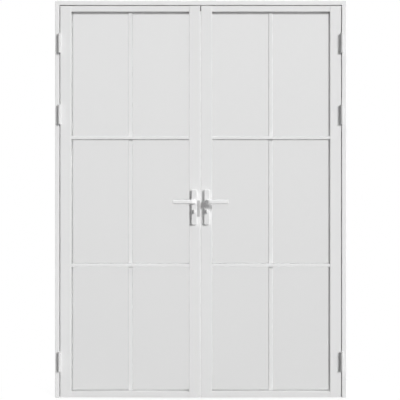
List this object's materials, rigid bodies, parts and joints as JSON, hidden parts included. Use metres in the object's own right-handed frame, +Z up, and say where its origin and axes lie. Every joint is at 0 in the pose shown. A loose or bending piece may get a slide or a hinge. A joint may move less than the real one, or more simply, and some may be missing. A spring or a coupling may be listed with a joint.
{
  "type": "french doors",
  "caption": "Pair of glazed white steel leaves in a three-sided frame, with lift-off hinges, lever handles, bolts and thumb-turns.",
  "frame": {"origin": "on the floor, midway between the jambs, in the middle plane of the closed leaves", "axes": "+Z up, +X to the right seen from the front, +Y from the front to the back; the leaves open towards -Y"},
  "size_m": [1.54, 0.172, 2.1],
  "materials": {
    "paint": "satin",
    "trim": "satin",
    "glass": "satin",
    "gasket": "matte",
    "seal": "matte",
    "hinge": "satin",
    "satin_steel": "satin",
    "lock_steel": "satin",
    "screw": "satin",
    "cylinder": "satin"
  },
  "bodies": {
    "frame": {"left_jamb": "paint", "right_jamb": "paint", "head": "paint", "frame_seal": "gasket", "left_frame_hinge_halves": "hinge", "right_frame_hinge_halves": "hinge", "hinge_pins": "lock_steel", "frame_hinge_screws": "screw"},
    "left_leaf": {"left_hinge_stile": "paint", "left_meeting_stile": "paint", "left_top_rail": "paint", "left_bottom_rail": "paint", "left_horizontal_bars": "paint", "left_top_pane": "glass", "left_middle_pane": "glass", "left_bottom_pane": "glass", "left_glazing_gaskets": "gasket", "left_glazing_beads": "trim", "left_upright_bars": "trim", "left_leaf_hinge_halves": "hinge", "left_hinge_screws": "screw", "left_front_plate": "satin_steel", "left_back_plate": "satin_steel", "left_plate_screws": "screw", "left_lock_case": "lock_steel", "left_key_cylinder": "cylinder", "strike_plate": "lock_steel"},
    "left_lever": {"left_front_lever": "satin_steel", "left_back_lever": "satin_steel", "left_spindle": "lock_steel"},
    "left_thumbturn": {"left_thumbturn": "satin_steel"},
    "left_top_bolt": {"left_top_bolt": "lock_steel"},
    "left_bottom_bolt": {"left_bottom_bolt": "lock_steel"},
    "right_leaf": {"right_hinge_stile": "paint", "right_meeting_stile": "paint", "right_top_rail": "paint", "right_bottom_rail": "paint", "right_horizontal_bars": "paint", "right_top_pane": "glass", "right_middle_pane": "glass", "right_bottom_pane": "glass", "right_glazing_gaskets": "gasket", "right_glazing_beads": "trim", "right_upright_bars": "trim", "right_leaf_hinge_halves": "hinge", "right_hinge_screws": "screw", "right_front_plate": "satin_steel", "right_back_plate": "satin_steel", "right_plate_screws": "screw", "right_lock_case": "lock_steel", "right_key_cylinder": "cylinder", "right_forend": "lock_steel", "meeting_seal": "seal"},
    "right_lever": {"right_front_lever": "satin_steel", "right_back_lever": "satin_steel", "right_spindle": "lock_steel"},
    "right_thumbturn": {"right_thumbturn": "satin_steel"},
    "right_top_bolt": {"right_top_bolt": "lock_steel"},
    "right_bottom_bolt": {"right_bottom_bolt": "lock_steel"},
    "deadbolt": {"deadbolt": "lock_steel"}
  },
  "joints": [
    {"name": "left_leaf_swing", "type": "hinge", "parent": "frame", "child": "left_leaf", "pos_m": [-0.74525, -0.036, 0], "axis": [0, 0, -1], "range_deg": [0, 170]},
    {"name": "left_lever_turn", "type": "hinge", "parent": "left_leaf", "child": "left_lever", "pos_m": [-0.0335, 0, 1.037], "axis": [0, -1, 0], "range_deg": [0, 90]},
    {"name": "left_top_bolt_slide", "type": "slide", "parent": "left_leaf", "child": "left_top_bolt", "axis": [0, 0, 1], "range_m": [0, 0.0131]},
    {"name": "left_bottom_bolt_slide", "type": "slide", "parent": "left_leaf", "child": "left_bottom_bolt", "axis": [0, 0, -1], "range_m": [0, 0.0131]},
    {"name": "left_thumbturn_turn", "type": "hinge", "parent": "left_leaf", "child": "left_thumbturn", "pos_m": [-0.0335, 0, 0.986], "axis": [0, 1, 0], "range_deg": [0, 90]},
    {"name": "right_leaf_swing", "type": "hinge", "parent": "frame", "child": "right_leaf", "pos_m": [0.74525, -0.036, 0], "axis": [0, 0, 1], "range_deg": [0, 170]},
    {"name": "right_lever_turn", "type": "hinge", "parent": "right_leaf", "child": "right_lever", "pos_m": [0.0335, 0, 1.037], "axis": [0, 1, 0], "range_deg": [0, 90]},
    {"name": "right_top_bolt_slide", "type": "slide", "parent": "right_leaf", "child": "right_top_bolt", "axis": [0, 0, 1], "range_m": [0, 0.0131]},
    {"name": "right_bottom_bolt_slide", "type": "slide", "parent": "right_leaf", "child": "right_bottom_bolt", "axis": [0, 0, -1], "range_m": [0, 0.0131]},
    {"name": "right_thumbturn_turn", "type": "hinge", "parent": "right_leaf", "child": "right_thumbturn", "pos_m": [0.0335, 0, 0.986], "axis": [0, -1, 0], "range_deg": [0, 90]},
    {"name": "deadbolt_slide", "type": "slide", "parent": "right_leaf", "child": "deadbolt", "axis": [-1, 0, 0], "range_m": [0, 0.01273]}
  ],
  "couplings": [
    {"joint": "left_top_bolt_slide", "follows": "left_lever_turn", "m_per_rad": 0.0081028},
    {"joint": "left_bottom_bolt_slide", "follows": "left_lever_turn", "m_per_rad": 0.0081028},
    {"joint": "right_top_bolt_slide", "follows": "right_lever_turn", "m_per_rad": 0.0081028},
    {"joint": "right_bottom_bolt_slide", "follows": "right_lever_turn", "m_per_rad": 0.0081028},
    {"joint": "right_thumbturn_turn", "follows": "deadbolt_slide", "rad_per_m": 123.41}
  ]
}
